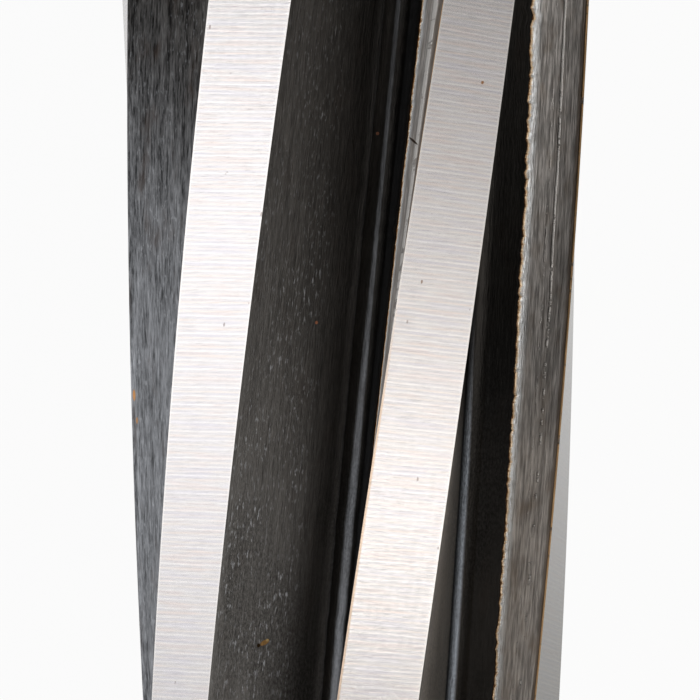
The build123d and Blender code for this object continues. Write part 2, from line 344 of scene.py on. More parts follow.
class Finishes(PropertyGroup):
    ground_steel: colour("Ground Steel", "Ground lands of the cutter", 0.585, 0.57, 0.56)
    face_steel: colour("Face Steel", "Ground band of the cutting faces", 0.92, 0.865, 0.825)
    black_oxide: colour("Black Oxide", "Blackened flutes", 0.0215, 0.020, 0.0185)
    # The oxide sheen also colours the painted highlight along the flutes' roots.
    oxide_sheen: colour("Oxide Sheen", "Coat rubbed grey, where it's streaked", 0.130, 0.134, 0.143)
    oxide_brown: colour("Oxide Brown", "Coat rubbed brown, where it's plain", 0.136, 0.127, 0.116)
    rust: colour("Rust", "Stain along the ground bands", 0.70, 0.36, 0.12)
    shank_steel: colour("Shank Steel", "Ground shank and head", 0.58, 0.58, 0.58)
    bar_steel: colour("Bar Steel", "Polished cross bar", 0.60, 0.60, 0.60)
    knob_black: colour("Knob Black", "Polished phenolic of the knobs", 0.012, 0.012, 0.013)
    brass: colour("Brass", "Bushes in the knobs", 0.75, 0.56, 0.28)
    line_spacing: length("Line Spacing", "Pitch of the grinding lines across the lands", 0.226)
    line_tilt: angle("Line Tilt", "Tilt of the grinding lines on the lands", 3.2)


class StageSettings(PropertyGroup):
    light: FloatProperty(
        name="Light", description="Level of all the lamps and the world", default=1.7, min=0
    )
    background: FloatProperty(
        name="Background", description="White of the floor as the camera sees it", default=0.94
    )
    lens: length("Lens", "Focal length of the camera", 337.3)
    distance: length("Camera Distance", "From the camera to the tool's axis", 172.0)
    elevation: angle("Camera Lean", "How far the camera leans towards the tip", 4.6)
    roll: angle("Camera Roll", "Turn of the camera about its line of sight", 0.428)
    aside: length("Camera Offset", "How far the camera stands to the left of the axis", 0.033)


def cone_radius(cutter, place):
    """Radius of the taper: half of the tip's diameter plus place over the taper run."""
    return (cutter.tip_diameter + place / cutter.taper_run) / 2


def gauge_place(cutter):
    """Distance from the tip to the gauge diameter."""
    return (cutter.gauge_diameter - cutter.tip_diameter) * cutter.taper_run


def bar_place(cutter, handle):
    """Distance from the tip to the cross bar: the bar goes through the middle of the head."""
    shoulder = (handle.head_diameter - handle.shank_diameter) / 2
    shank_end = cutter.cone_length + handle.neck_length + handle.shank_length
    return shank_end + shoulder + handle.head_length / 2


def flute_share(cutter, handle, place):
    """Share of the flute's full depth: 1, then less in the run-out, whose floor is an arc."""
    end_radius = cone_radius(cutter, cutter.cone_length)
    full_depth = cutter.flute_depth * 2 * end_radius / cutter.gauge_diameter
    lift = full_depth - (end_radius - handle.neck_diameter / 2 - cutter.run_out_step)
    rim = (cutter.run_out**2 + lift**2) / (2 * lift)
    past = np.maximum(0.0, place - (cutter.cone_length - cutter.run_out))
    return 1 - (rim - np.sqrt(rim**2 - past**2)) / full_depth


def stretch(start, end, count, bow=0.0):
    """Points from start up to but without end, for whole arrays of starts and ends.

    The point at share w lies w of the way along the chord, and is moved off it to the left by
    4 w (1 - w) times the bow, a shallow parabola.
    """
    share = np.arange(count) / count
    chord = (end - start)[:, None]
    side = 1j * chord / np.abs(chord)
    bowed = 4 * share * (1 - share) * np.reshape(bow, (-1, 1)) * side
    return start[:, None] + share * chord + bowed


def wander(rng, places, reach, spacing):
    """Smooth unevenness along the tool, up to about reach: random heights joined by a cosine."""
    steps = int(places[-1] / spacing) + 2
    heights = rng.normal(0, reach / 2, steps)
    at = np.clip(places / spacing, 0, steps - 1.001)
    low = at.astype(int)
    ease = (1 - np.cos(pi * (at - low))) / 2
    return heights[low] * (1 - ease) + heights[low + 1] * ease


def tooth(cutter, handle, place, turn, next_turn, face_share, worn):
    """One tooth's land and the flute behind it, at every place at once, as complex numbers.

    The real part runs to the right and the imaginary part outwards, with the first cutting edge
    at the top. The outline falls along the flat land to the heel, goes down the hollow back,
    around the flute's corner, up the wall, over the ledge and up the two ground bands of the
    next tooth's cutting face.
    """
    radius = cone_radius(cutter, place)
    full_size = 2 * radius / cutter.gauge_diameter
    size = flute_share(cutter, handle, place) * full_size
    facet_depth, band_depth = cutter.facet_depth * face_share, cutter.band_depth * face_share
    facet_in = cutter.facet_depth * tan(cutter.facet_rake)
    band_in = facet_in + (band_depth - facet_depth) * tan(cutter.band_rake)

    # A point's distances under and beside a cutting edge give its place about that edge's top.
    edge = 1j * radius * np.exp(-1j * turn)
    heel = edge + full_size * cutter.land_width * np.exp(-1j * (cutter.land_relief + turn))
    towards_next = np.exp(-1j * next_turn)
    next_edge = 1j * radius * towards_next
    facet_foot = next_edge + size * (facet_in - 1j * (facet_depth + worn[1])) * towards_next
    band_foot = next_edge + size * (band_in - 1j * (band_depth + worn[0])) * towards_next
    ledge_rim = band_foot - size * (cutter.band_step + worn[2]) * towards_next
    corner = next_edge - size * (cutter.root_lead + 1j * cutter.flute_depth) * towards_next

    hollow = cutter.back_hollow * size
    to_heel = heel - corner + 4 * hollow * 1j * (heel - corner) / np.abs(heel - corner)
    to_heel = to_heel / np.abs(to_heel)
    to_ledge = (ledge_rim - corner) / np.abs(ledge_rim - corner)
    half = np.abs(np.angle(to_ledge / to_heel)) / 2
    back_end = corner + to_heel * cutter.root_radius * size / np.tan(half)
    wall_start = corner + to_ledge * cutter.root_radius * size / np.tan(half)
    bisector = (to_heel + to_ledge) / np.abs(to_heel + to_ledge)
    centre = corner + bisector * cutter.root_radius * size / np.sin(half)
    sweep = np.angle((wall_start - centre) / (back_end - centre))
    root_share = np.arange(ZONE_POINTS[ROOT]) / ZONE_POINTS[ROOT]
    root = centre[:, None] + (back_end - centre)[:, None] * np.exp(1j * sweep[:, None] * root_share)
    return np.hstack([
        stretch(edge, heel, ZONE_POINTS[LAND]),
        stretch(heel, back_end, ZONE_POINTS[BACK], -hollow),
        root,
        stretch(wall_start, ledge_rim, ZONE_POINTS[WALL]),
        stretch(ledge_rim, band_foot, ZONE_POINTS[LEDGE]),
        stretch(band_foot, facet_foot, ZONE_POINTS[BAND]),
        stretch(facet_foot, next_edge, ZONE_POINTS[FACET]),
    ])


def toothed_rings(cutter, handle, place):
    """Rings of the whole taper: six teeth, turned with the helix, cut back to the tip's bevel."""
    rng = np.random.default_rng(GRINDING_SEED)
    next_turns = np.append(TOOTH_TURNS[1:], 2 * pi)
    next_shares = np.roll(FACE_SHARES, -1)
    rings = []
    for turn, next_turn, face_share in zip(TOOTH_TURNS, next_turns, next_shares):
        coarse, fine, facet, ledge = (wander(rng, place, share * cutter.edge_wear, spacing)
                                      for share, spacing in (*BAND_WAVES, FACET_WAVE, LEDGE_WAVE))
        worn = coarse + fine, facet, np.abs(ledge)
        rings.append(tooth(cutter, handle, place, turn, next_turn, face_share, worn))
    rings = np.hstack(rings)
    turn = cutter.gauge_turn + 2 * pi * (place - gauge_place(cutter)) / cutter.flute_lead
    rings = rings * np.exp(-1j * turn)[:, None]
    bevel = cone_radius(cutter, 0) - cutter.tip_chamfer + place
    return rings * np.minimum(1, bevel[:, None] / np.abs(rings))


def zone_way():
    """Where each square of a tooth starts and ends on its way round, in zones.

    On the land it falls from 0 at the cutting edge to -1 at the heel. In the flute it counts
    the zones back from the next cutting edge: 0 to 1 down its edge facet, 1 to 2 down the
    ground band, then the ledge, the wall, the root and the back up to the heel.
    """
    start, end = [], []
    for zone, count in ZONE_POINTS.items():
        share = np.arange(count + 1) / count
        way = -share if zone == LAND else FACET + 1 - zone - share
        start.extend(way[:-1])
        end.extend(way[1:])
    return np.array([start, end]).T


def straight_on_faces(cutter, place, teeth, gauge_way):
    """The way around for every ring, with each cutting face measured down from its cutting edge.

    Where a face's foot is uneven, the lines ground along the face stay straight in this way.
    """
    ways = np.tile(gauge_way, (len(place), 1))
    scale = 2 * cone_radius(cutter, place) / cutter.gauge_diameter
    for tooth_number in range(1, len(TOOTH_TURNS) + 1):
        edge = tooth_number * len(TOOTH_ZONES)
        edge_line = teeth[:, edge % teeth.shape[1]]
        for point in range(edge - ZONE_POINTS[FACET] - ZONE_POINTS[BAND], edge):
            ways[:, point] = gauge_way[edge] - np.abs(teeth[:, point] - edge_line) / scale
    return ways


def smooth_step(value, low, high):
    """0 up to low and 1 from high on, smooth between."""
    share = np.clip((value - low) / (high - low), 0, 1)
    return share * share * (3 - 2 * share)


def rubbed_coat(cutter, place):
    """How far the coat is rubbed, how streaked it is, and a third number, at every point.

    Both ends of each flute take the values of FLUTE_COATS, with a smooth step along the tool
    between them. The back is painted darker from its heel to its foot, the more the nearer to the
    shank: painted shade deepening into the flute. The third number is the painted brightness of
    the land, whose dimming is painted shade, the width of the lines on the cutting face, and
    between the two the share of the way to the shank.
    """
    in_root = ((TOOTH_ZONES == ROOT) | (TOOTH_ZONES == WALL))[None, :]
    on_land = (np.arange(len(TOOTH_ZONES)) <= ZONE_POINTS[LAND])[None, :]
    on_face = (TOOTH_ZONES >= BAND)[None, :]
    down = (np.arange(len(TOOTH_ZONES)) - ZONE_POINTS[LAND])[None, :] / ZONE_POINTS[BACK]
    widths = np.roll(FACE_LINE_WIDTHS, -1)
    above_gauge = (place - gauge_place(cutter)) / MM
    columns = []
    for coat, shade, width in zip(FLUTE_COATS, LAND_SHADES, widths):
        back_shank, back_tip, root_shank, root_tip, foot, streaked, middle, reach = coat
        share = smooth_step(above_gauge, middle - reach, middle + reach)[:, None]
        # Painted shade: the rubbed coat is painted darker down the back towards its foot.
        kept = 1 - FOOT_PAINTED_SHADE * share * smooth_step(down, *DARKENING_SHARES)
        kept = kept * (1 - foot * smooth_step(down, *DARK_FOOT_SHARES))
        back = (back_tip + (back_shank - back_tip) * share) * kept
        root = root_tip + (root_shank - root_tip) * share
        third = np.where(on_land, shade, np.where(on_face, width, share))
        rubbed = np.where(in_root, root, back)
        columns.append(np.stack(np.broadcast_arrays(rubbed, streaked, third), axis=-1))
    return np.concatenate(columns, axis=1)


def rounded(outline, rounding, steps=4):
    """An outline of (radius, place) with each inner corner swapped for a short parabola.

    The parabola starts and ends at the rounding, or at a third of a shorter side, from the corner.
    """
    points = np.array([complex(*point) for point in outline])
    result = [points[:1]]
    for before, corner, after in zip(points, points[1:], points[2:]):
        near = corner + (before - corner) * min(1 / 3, rounding / abs(before - corner))
        far = corner + (after - corner) * min(1 / 3, rounding / abs(after - corner))
        share = np.linspace(0, 1, steps + 1)
        result.append(near * (1 - share) ** 2 + 2 * corner * share * (1 - share) + far * share**2)
    result.append(points[-1:])
    return np.concatenate(result)


def circle(count):
    """Points of a unit circle, clockwise from the upper side, as complex numbers."""
    return 1j * np.exp(-2j * pi * np.arange(count) / count)


def along_tool(cutter, handle):
    """Lays points about the tool's axis, at a distance from the tip, in their row positions."""
    tip = np.array(BAR_CENTRE - AXIS * bar_place(cutter, handle))

    def laid(across, place):
        side = across.real[..., None] * np.array((1.0, 0.0, 0.0))
        up = -across.imag[..., None] * np.array(DOWN)
        return tip + place[..., None] * np.array(AXIS) + side + up

    return laid


def along_bar(sign):
    """Lays points about the cross bar, at a distance from the tool's axis to the sign's side."""

    def laid(across, place):
        start = np.array(BAR_CENTRE)
        side = np.array((sign, 0.0, 0.0))
        ahead = across.real[..., None] * np.array(AXIS) * sign
        up = -across.imag[..., None] * np.array(DOWN)
        return start + place[..., None] * side + ahead + up

    return laid


def ring_mesh(name, rings, places, laid, slots=None, unrolled=None, coat=None):
    """A closed mesh from rings of points. Neighbouring rings are joined by squares.

    The first and the last ring shrink to a point. Each corner keeps where it is on the unrolled
    surface, in millimetres around and along and in zones, as the attribute that finishes read.
    """
    ring_count, around = rings.shape
    places = np.broadcast_to(np.asarray(places)[:, None], rings.shape)
    positions = laid(rings, places).reshape(-1, 3)
    ring, step = np.meshgrid(np.arange(ring_count - 1), np.arange(around), indexing="ij")
    after = (step + 1) % around
    squares = np.stack([ring * around + step, ring * around + after,
                        (ring + 1) * around + after, (ring + 1) * around + step], axis=-1)
    mesh = bpy.data.meshes.new(name)
    mesh.from_pydata(positions.tolist(), [], squares.reshape(-1, 4).tolist())
    if slots is not None:
        mesh.polygons.foreach_set("material_index", slots.reshape(-1).astype(np.int32))
    round_way, long_way, zone_ends = unrolled or unrolled_by_length(rings, places)
    round_way = np.broadcast_to(round_way, (ring_count, around + 1))
    start, end = zone_ends[step, 0], zone_ends[step, 1]
    near, far = long_way[ring], long_way[ring + 1]
    corners = np.stack([
        np.stack([round_way[ring, step], round_way[ring, step + 1],
                  round_way[ring + 1, step + 1], round_way[ring + 1, step]], axis=-1) / MM,
        np.stack([near, near, far, far], axis=-1) / MM,
        np.stack([start, end, end, start], axis=-1),
    ], axis=-1)
    attribute = mesh.attributes.new("unrolled", "FLOAT_VECTOR", "CORNER")
    attribute.data.foreach_set("vector", corners.reshape(-1).astype(np.float32))
    if coat is not None:
        attribute = mesh.attributes.new("coat", "FLOAT_VECTOR", "POINT")
        attribute.data.foreach_set("vector", coat.reshape(-1).astype(np.float32))
    welded = bmesh.new()
    welded.from_mesh(mesh)
    bmesh.ops.remove_doubles(welded, verts=welded.verts, dist=WELD_DISTANCE)
    bmesh.ops.dissolve_degenerate(welded, edges=welded.edges, dist=SHORTEST_EDGE)
    bmesh.ops.recalc_face_normals(welded, faces=welded.faces)
    welded.to_mesh(mesh)
    welded.free()
    mesh.update()
    piece = bpy.data.objects.new(name, mesh)
    bpy.context.scene.collection.objects.link(piece)
    return piece


def unrolled_by_length(rings, places):
    """Length around the widest ring, and length along the first line of points, in no zones."""
    widest = np.argmax(np.abs(rings[:, 0]))
    steps = np.abs(np.diff(np.append(rings[widest], rings[widest, 0])))
    run = np.hypot(np.diff(np.abs(rings[:, 0])), np.diff(places[:, 0]))
    no_zones = np.zeros((rings.shape[1], 2))
    return np.append(0, np.cumsum(steps)), np.append(0, np.cumsum(run)), no_zones


def turned_piece(name, outline, laid, rounding, around=ROUND_POINTS):
    """A lathe-turned piece: the rounded outline carried once around the axis."""
    line = rounded(outline, rounding)
    rings = np.maximum(line.real, 0)[:, None] * circle(around)[None, :]
    return ring_mesh(name, rings, line.imag, laid)


def cut_with(piece, cutter_object):
    """Takes the cutter's shape out of the piece for good, and deletes the cutter."""
    cut = piece.modifiers.new("cut", "BOOLEAN")
    cut.operation = "DIFFERENCE"
    cut.solver = "EXACT"
    cut.object = cutter_object
    evaluated = piece.evaluated_get(bpy.context.evaluated_depsgraph_get())
    result = bpy.data.meshes.new_from_object(evaluated)
    piece.modifiers.clear()
    old = piece.data
    piece.data = result
    bpy.data.meshes.remove(old)
    bpy.data.objects.remove(cutter_object)


def finished(piece, node, materials, sharp=28):
    """Gives a piece its materials and its sharp edges, and puts it in the node's place."""
    for number, material in enumerate(materials):
        if number < len(piece.data.materials):
            piece.data.materials[number] = material
        else:
            piece.data.materials.append(material)
    piece.data.shade_smooth()
    piece.data.set_sharp_from_angle(angle=radians(sharp))
    if piece.data.validate(verbose=False):
        print("mended", piece.name)
    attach(piece, "root")
    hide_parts(node)


class Nodes:
    """A node tree under construction. Each method adds nodes and hands back their output."""

    def __init__(self, tree):
        self.tree = tree
        tree.nodes.clear()

    def set(self, node, socket, value):
        """Puts a constant on a socket, or links another node's output to it."""
        target = node.inputs[socket.replace("_", " ") if isinstance(socket, str) else socket]
        if isinstance(value, bpy.types.NodeSocket):
            self.tree.links.new(value, target)
        elif target.type == "RGBA" and len(value) == 3:
            target.default_value = (*value, 1)
        else:
            target.default_value = value

    def add(self, kind, *inputs, output=0, **settings):
        """Any node, its inputs in order, where None leaves one alone, and its settings by name."""
        node = self.tree.nodes.new("ShaderNode" + kind)
        for name, value in settings.items():
            setattr(node, name, value)
        for number, value in enumerate(inputs):
            if value is not None:
                self.set(node, number, value)
        return node.outputs[output]

    def end(self, kind, shader):
        """Makes the shader what a material or the world shows."""
        output = self.tree.nodes.new("ShaderNodeOutput" + kind)
        self.tree.links.new(shader, output.inputs[0])

    def maths(self, operation, *values, clamp=False):
        """One step of arithmetic."""
        return self.add("Math", *values, operation=operation, use_clamp=clamp)

    def both(self, first, second):
        """Two values multiplied: as factors from 0 to 1, where both hold."""
        return self.maths("MULTIPLY", first, second)

    def less(self, first, second):
        """The first value less the second."""
        return self.maths("SUBTRACT", first, second)

    def larger(self, first, second):
        """The larger of two values: as factors from 0 to 1, where either holds."""
        return self.maths("MAXIMUM", first, second)

    def scaled(self, value, factor, more, clamp=False):
        """A value times a factor, plus what is more."""
        return self.maths("MULTIPLY_ADD", value, factor, more, clamp=clamp)

    def ray(self, kind):
        """1 for one kind of ray, 0 for all others."""
        return self.add("LightPath", output=f"Is {kind} Ray")


class Finish(Nodes):
    """A material with one surface shader, whose patterns follow the unrolled surface."""

    def __init__(self, name, **surface):
        self.material = bpy.data.materials.new(name)
        self.material.use_nodes = True
        super().__init__(self.material.node_tree)
        self.surface = self.tree.nodes.new("ShaderNodeBsdfPrincipled")
        self.end("Material", self.surface.outputs[0])
        self.dress(surface)

    def dress(self, surface):
        """Sets sockets of the surface shader by name."""
        for socket, value in surface.items():
            self.set(self.surface, socket, value)

    def made(self, height, depth, **surface):
        """The finished material, with a bump whose full height is the depth."""
        bump = self.tree.nodes.new("ShaderNodeBump")
        self.set(bump, "Height", height)
        self.set(bump, "Distance", depth)
        self.dress({**surface, "Normal": bump.outputs[0]})
        return self.material

    def attribute(self, name):
        """The three numbers of an attribute."""
        where = self.add("Attribute", attribute_name=name, output=1)
        split = self.tree.nodes.new("ShaderNodeSeparateXYZ")
        self.tree.links.new(where, split.inputs[0])
        return split.outputs[:]

    def unrolled(self):
        """Millimetres around and along the unrolled surface, and the way round in zones."""
        return self.attribute("unrolled")

    def at(self, x, y, z=0.0):
        """A point from its three coordinates."""
        return self.add("CombineXYZ", x, y, z)

    def noise(self, vector, scale, detail, rough):
        """Noise of about 0 to 1, centred on 0.5."""
        return self.add("TexNoise", vector, None, scale, detail, rough)

    def clouds(self, per_metre, detail, rough=0.6):
        """Noise that is alike in all directions, on the piece's Object coordinates."""
        return self.noise(self.add("TexCoord", output=3), per_metre, detail, rough)

    def streaks(self, x, y, kind):
        """Noise stretched along one way of the unrolled surface, of a kind from STREAKS."""
        per_x, per_y, part, detail, rough = STREAKS[kind]
        place = self.at(self.both(x, per_x), self.both(y, per_y), part)
        return self.noise(place, 1.0, detail, rough)

    def ramp(self, factor, *stops, smooth=True):
        """Values or colours between stops, each a pair of place and value."""
        node = self.tree.nodes.new("ShaderNodeValToRGB")
        node.color_ramp.interpolation = "EASE" if smooth else "LINEAR"
        elements = node.color_ramp.elements
        while len(elements) < len(stops):
            elements.new(0.5)
        for element, (place, value) in zip(elements, stops):
            element.position = place
            element.color = (value, value, value, 1) if isinstance(value, float) else (*value, 1)
        self.set(node, 0, factor)
        return node.outputs[0]

    def steps(self, value, low, high):
        """A smooth step: 0 up to low and 1 from high on, or the reverse where high is less."""
        return self.add("MapRange", value, low, high, 0.0, 1.0, interpolation_type="SMOOTHSTEP")

    def line(self, value, middle, half_width):
        """1 where value is close to the middle, 0 from half_width away."""
        off = self.maths("ABSOLUTE", self.less(value, middle))
        return self.steps(off, half_width, self.both(half_width, 0.4))

    def blend(self, factor, first, second):
        """A number between two, by a factor from 0 to 1."""
        return self.add("Mix", factor, None, first, second)

    def mix(self, factor, first, second, blend="MIX"):
        """A colour between two, by a factor from 0 to 1."""
        # A Mix node's inputs for colours come after those for numbers and vectors.
        return self.add("Mix", factor, *[None] * 5, first, second, output=2,
                        data_type="RGBA", blend_type=blend)

    def times(self, first, second, factor=1.0):
        """A colour multiplied by another, in full or by a factor from 0 to 1."""
        return self.mix(factor, first, second, "MULTIPLY")

    def marked(self, tone, around, along, marks):
        """The tone with marks on it, each an ellipse with a soft rim."""
        for x, y, half_x, half_y, slant, tint in marks:
            off_x = self.less(around, x)
            off_y = self.less(self.less(along, y), self.both(off_x, slant))
            shares = [self.maths("DIVIDE", self.maths("ABSOLUTE", off), half)
                      for off, half in ((off_x, half_x), (off_y, half_y))]
            reach = self.maths("ADD", *(self.maths("POWER", share, 2) for share in shares))
            tone = self.mix(self.steps(reach, 1.0, 0.4), tone, tint)
        return tone


def shaded(tone, factor):
    """A colour made lighter or darker."""
    return tuple(factor * value for value in tone)


def ground_land(finishes, land_width):
    """Bright ground steel: grinding lines nearly square to the axis, each with its own tint."""
    f = Finish("ground_land", Metallic=1.0, Roughness=0.24)
    around, along, zone = f.unrolled()
    shade = f.attribute("coat")[2]
    side = f.both(zone, -land_width / MM)

    # The phase grows by 1 from one grinding line to the next.
    phase = f.scaled(side, tan(finishes.line_tilt), along)
    phase = f.maths("DIVIDE", phase, finishes.line_spacing / MM)
    phase = f.scaled(f.streaks(around, along, "land_sway"), 0.3, phase)
    lines = f.ramp(f.maths("FRACT", phase), *LINE_PROFILE, smooth=False)
    every_other = f.ramp(f.maths("FRACT", f.both(phase, 0.5)), (0.0, 1.0), (0.5, 0.7), (1.0, 1.0))
    strength = f.ramp(f.streaks(side, phase, "line_strength"), (0.35, 0.65), (0.6, 1.0))
    base = f.mix(f.both(every_other, strength), TINTS["plain_land"], lines)
    dashes = f.streaks(side, along, "land_dashes")
    base = f.times(base, f.ramp(dashes, (0.32, 0.88), (0.5, 0.97), (0.68, 1.0)))
    base = f.times(base, f.ramp(f.streaks(side, phase, "line_tint"), *LINE_TINTS), 0.8)

    # Painted highlights: both edges of the land are painted near white.
    land_edge_highlights = f.larger(f.line(zone, 0.0, 0.03), f.line(zone, -1.0, 0.03))
    base = f.mix(f.both(land_edge_highlights, 0.6), base, TINTS["land_edge_highlight"])
    browned = f.both(f.line(around, 0.0, 0.085), f.steps(along, 61.5, 57.5))
    base = f.mix(f.both(browned, 0.85), base, TINTS["browned_edge"])
    base = f.times(base, shaded(finishes.ground_steel, 1.14))
    # Painted shade: a land with a low shade is painted darker, and the dimmest one olive.
    base = f.times(base, shade)
    base = f.mix(f.steps(shade, 0.6, 0.4), base, f.times(base, TINTS["painted_shade_tint"]))
    speck = f.add("TexVoronoi", f.at(around, f.both(along, 0.55)), None, 2.2)
    crowd = f.ramp(f.streaks(around, along, "speck_crowds"), (0.5, 0.03), (0.72, 0.13))
    base = f.mix(f.both(f.maths("LESS_THAN", speck, crowd), 0.55), base, TINTS["speck"])
    base = f.marked(base, around, along, LAND_MARKS)
    return f.made(f.streaks(side, phase, "land_grooves"), 0.012 * MM, Base_Color=base)


def oxide_coat(f, finishes, around, along, zone, coat):
    """Colour, roughness and height of the black coat. In the root only a line of it is painted
    lighter and bluer: a painted highlight along the root's fillet.

    By zone, the wall runs from 3 to 4, the root from 4 to 5 and the back from 5 to 6, its heel.
    """
    rubbed, streaked, to_shank = coat
    back = f.steps(zone, 4.97, 5.03)
    to_tip = f.less(1.0, to_shank)
    # Painted light: the first flute is painted lighter towards the tip, from its heel to the line
    # in its root.
    first = f.steps(around, 7.6, 7.5)
    first_to_tip = f.both(first, to_tip)
    # Painted highlight: in the root the coat is painted lighter only along a line in its fillet.
    root_highlight_line = f.line(zone, f.scaled(first, 0.1, 4.5), f.scaled(to_shank, -0.15, 0.25))
    root_rub_and_highlight = f.larger(root_highlight_line, f.both(f.steps(zone, 4.05, 3.95), f.scaled(first, -0.35, 0.45)))
    root_rub_and_highlight = f.larger(root_rub_and_highlight, f.both(f.steps(zone, 4.75, 4.9), first_to_tip))
    rubbed = f.both(rubbed, f.blend(back, root_rub_and_highlight, 1.0))
    # The back takes the worn tone; the root line takes the bluer tone of its painted highlight.
    worn_and_highlight_tone = f.mix(f.blend(back, 1.0, streaked), finishes.oxide_brown, finishes.oxide_sheen)
    # Painted light on the first flute's back towards the tip.
    back_painted_light = f.both(first_to_tip, f.steps(zone, 4.8, 4.95))
    worn_and_highlight_tone = f.mix(back_painted_light, worn_and_highlight_tone, TINTS["first_back_painted_light"])
    worn_and_highlight_tone = f.mix(f.both(first_to_tip, root_highlight_line), worn_and_highlight_tone, TINTS["first_root_painted_highlight"])
    tone = f.mix(rubbed, finishes.black_oxide, worn_and_highlight_tone)
    short = f.streaks(around, along, "short_streaks")
    mixed = f.scaled(f.streaks(around, along, "long_streaks"), 0.4, f.both(short, 0.6))
    depth = f.both(streaked, f.scaled(to_shank, 4.0, 5.3))
    swing = f.scaled(f.less(mixed, 0.5), depth, 1.0)
    tone = f.times(tone, f.larger(swing, 0.22))

    # Towards the tip the coat is grainy, with short dashes where it's worn through.
    grain = f.streaks(around, along, "coat_grain")
    coarse = f.both(f.steps(f.streaks(around, along, "grainy_places"), 0.25, 0.6),
                    f.both(f.scaled(to_tip, 0.8, 0.2), f.scaled(streaked, -0.8, 1.0)))
    tone = f.mix(coarse, tone, f.times(tone, f.ramp(grain, (0.35, 0.32), (0.65, 1.0))))
    patches = f.ramp(f.streaks(around, along, "dash_patches"), (0.35, 0.15), (0.62, 1.0))
    dash = f.steps(f.streaks(around, along, "worn_dashes"), 0.55, 0.70)
    often = f.both(f.scaled(to_tip, 0.5, 0.4), f.scaled(streaked, -0.7, 1.2))
    worn = f.both(f.both(often, patches), f.steps(zone, 5.2, 5.45))
    tone = f.mix(f.both(dash, worn), tone, TINTS["worn_dash"])
    brown = f.steps(f.streaks(around, along, "brown_places"), 0.52, 0.72)
    tone = f.mix(f.both(f.both(brown, 0.5), streaked), tone, TINTS["brown_coat"])
    in_root = f.both(f.steps(zone, 3.9, 4.1), f.steps(zone, 5.1, 4.9))
    rough = f.blend(in_root, f.blend(back, 0.5, 0.36), 0.3)
    return tone, rough, f.scaled(f.both(grain, coarse), 0.8, mixed)


def fluted_steel(finishes):
    """Black coat in the flutes, and the ground facet and band of the cutting faces.

    By zone, the facet runs from 0, the cutting edge, to 1, and the band from 1 to 2.
    """
    f = Finish("fluted_steel")
    around, along, zone = f.unrolled()
    coat = f.attribute("coat")
    tone, rough, streaks = oxide_coat(f, finishes, around, along, zone, coat)
    width = f.larger(coat[2], 1.0)

    ragged = f.less(f.streaks(around, along, "ragged_rim"), 0.5)
    down = f.scaled(ragged, f.scaled(width, 0.08, 0.12), zone)
    scratches = f.streaks(around, along, "face_scratches")
    broad = f.streaks(around, along, "face_bands")
    blotches = f.steps(f.streaks(around, along, "face_blotches"), 0.45, 0.8)
    grooved = shaded(finishes.face_steel, 0.45)
    steel = f.mix(f.steps(scratches, 0.32, 0.68), grooved, finishes.face_steel)
    steel = f.times(steel, f.ramp(broad, (0.35, 0.60), (0.6, 1.0)))
    steel = f.mix(f.both(blotches, 0.5), steel, TINTS["face_blotch"])

    # The steel curves up to the band's ragged rim, which is painted pale and streaked as a painted
    # highlight. Painted highlights run along the facet's foot and across the band, over ridges in
    # the bump.
    rim = f.scaled(zone, 1 / RIM_REACH, -RIM_START / RIM_REACH, clamp=True)
    fibres = f.ramp(f.streaks(around, along, "rim_fibres"), (0.36, 0.25), (0.6, 1.0))
    steel = f.mix(f.both(f.steps(zone, 1.62, 1.86), fibres), steel, TINTS["rim_highlight"])
    steel = f.mix(f.both(f.steps(down, 1.89, 1.97), 0.85), steel, TINTS["golden_rim"])
    towards_shank = f.steps(along, 54.0, 66.0)
    # Painted highlights: a line along the facet's foot and a fainter one across the band are
    # painted near white.
    unbroken = f.scaled(towards_shank, 0.205, f.streaks(around, along, "highlight_breaks"))
    foot = f.line(f.scaled(ragged, 0.05, zone), f.scaled(width, 0.07, 0.93), f.both(width, 0.055))
    foot = f.both(foot, f.steps(unbroken, 0.54, 0.65))
    second = f.line(f.scaled(ragged, 0.1, zone), 1.25, 0.025)
    second = f.both(second, f.steps(f.streaks(around, along, "second_highlight_breaks"), 0.5, 0.6))
    face_highlights = f.larger(foot, f.both(second, 0.5))
    steel = f.mix(face_highlights, steel, TINTS["painted_face_glint"])
    brown_to = f.scaled(width, 0.26, 0.08)
    under_edge = f.steps(zone, brown_to, f.both(brown_to, 0.6))
    steel = f.mix(f.both(under_edge, 0.7), steel, TINTS["brown_under_edge"])
    edge_to = f.scaled(width, 0.04, 0.10)
    edge = f.both(f.steps(zone, edge_to, f.both(edge_to, 0.5)),
                  f.steps(f.streaks(around, along, "edge_breaks"), 0.3, 0.45))
    steel = f.mix(edge, steel, TINTS["golden_edge"])
    steel = f.times(steel, f.blend(f.steps(along, 50.0, 66.0), 0.58, 1.0))

    stain = f.both(f.steps(down, 2.20, 2.06),
                   f.steps(f.streaks(around, along, "stain_breaks"), 0.30, 0.48))
    tone = f.mix(f.both(stain, 0.95), tone, finishes.rust)
    ground = f.steps(down, 2.02, 1.98)
    base = f.marked(f.mix(ground, tone, steel), around, along, FLUTE_MARKS)
    dull = f.both(f.larger(ground, stain), f.less(1.0, f.both(f.both(rim, rim), ground)))
    curve = f.scaled(f.maths("POWER", rim, 3.0), 3.7,
                     f.both(f.maths("ADD", scratches, f.both(rim, fibres)), 0.5))
    height = f.blend(ground, f.both(streaks, 0.4), curve)
    height = f.scaled(f.larger(face_highlights, edge), 0.9, height)
    return f.made(height, 0.05 * MM, Base_Color=base, Metallic=f.scaled(dull, -0.6, 1.0),
                  Roughness=f.blend(ground, rough, f.blend(rim, 0.42, 0.25)))


